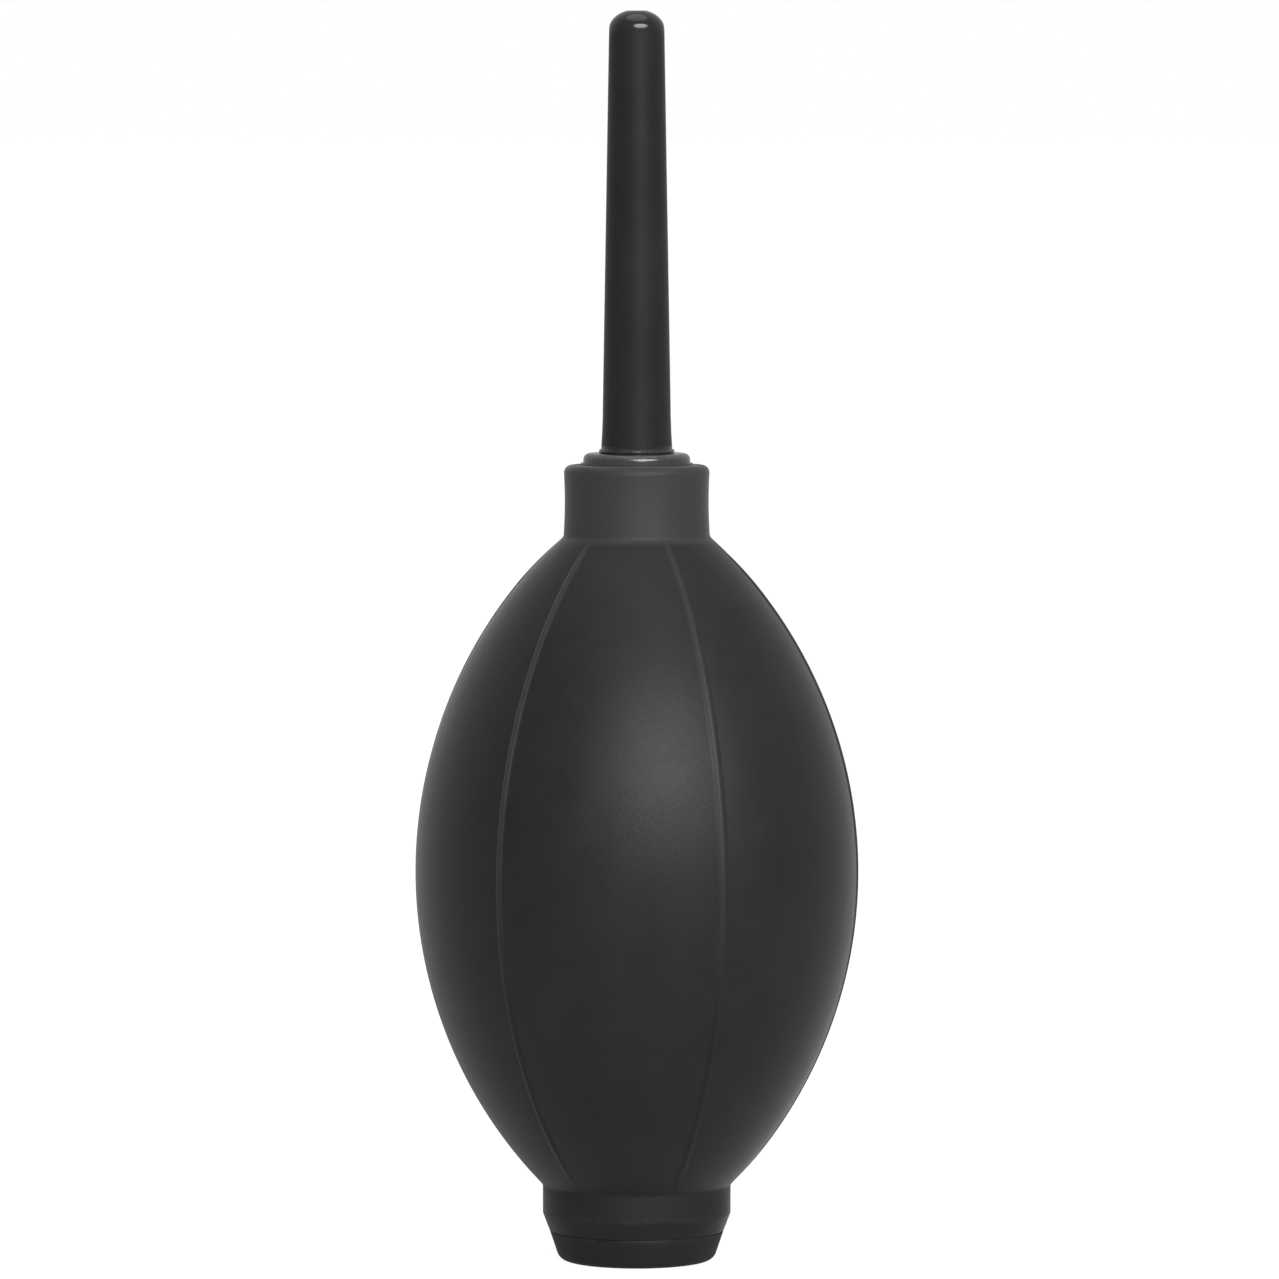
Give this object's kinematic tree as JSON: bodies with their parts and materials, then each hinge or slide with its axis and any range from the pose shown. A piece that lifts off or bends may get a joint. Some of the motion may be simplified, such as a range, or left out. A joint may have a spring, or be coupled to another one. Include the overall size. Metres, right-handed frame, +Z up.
{
  "type": "dust blower bulb",
  "caption": "Hand air blower: a lemon-shaped beaded rubber bulb on a round foot, with an inlet valve in the base and a valved neck bush that holds a tapered pull-off nozzle.",
  "frame": {"origin": "middle of the flat foot that the blower stands on", "axes": "+Z up along the nozzle, which is the axis that everything is turned about; -Y is the front"},
  "size_m": [0.045, 0.045, 0.127],
  "materials": {
    "bulb_rubber": "matte moulded black rubber",
    "nozzle_plastic": "glossy black hard plastic",
    "bush_plastic": "glossy dark grey hard plastic",
    "base_plastic": "satin black hard plastic",
    "valve_plastic": "natural white acetal",
    "seal_rubber": "smooth black nitrile rubber",
    "screen_steel": "stamped stainless steel"
  },
  "bodies": {
    "bulb_and_base": {"bulb": "bulb_rubber", "inlet_valve_body": "base_plastic", "inlet_valve_cage": "valve_plastic", "inlet_filter_screen": "screen_steel", "inlet_screen_ring": "screen_steel"},
    "neck_fitting": {"neck_bush": "bush_plastic", "outlet_valve_seat": "valve_plastic"},
    "outlet_disc": {"outlet_valve_disc": "seal_rubber"},
    "nozzle_seal": {"nozzle_seal_ring": "seal_rubber"},
    "nozzle": {"nozzle_tube": "nozzle_plastic"},
    "inlet_disc": {"inlet_valve_disc": "seal_rubber"}
  },
  "joints": [
    {"name": "outlet_valve_lift", "type": "slide", "parent": "neck_fitting", "child": "outlet_disc", "axis": [0, 0, 1], "range_m": [0, 0.001]},
    {"name": "nozzle_pull", "type": "slide", "parent": "neck_fitting", "child": "nozzle_seal", "axis": [0, 0, 1], "range_m": [0, 0.0074]},
    {"name": "nozzle_turn", "type": "hinge", "parent": "nozzle_seal", "child": "nozzle", "pos_m": [0, 0, 0.08], "axis": [0, 0, 1], "continuous": true},
    {"name": "bulb_press", "type": "slide", "parent": "bulb_and_base", "child": "neck_fitting", "axis": [0, 0, -1], "range_m": [0, 0.012], "stiffness_N_per_m": 1500, "deforming": ["bulb"]},
    {"name": "inlet_valve_lift", "type": "slide", "parent": "bulb_and_base", "child": "inlet_disc", "axis": [0, 0, 1], "range_m": [0, 0.0012]}
  ]
}
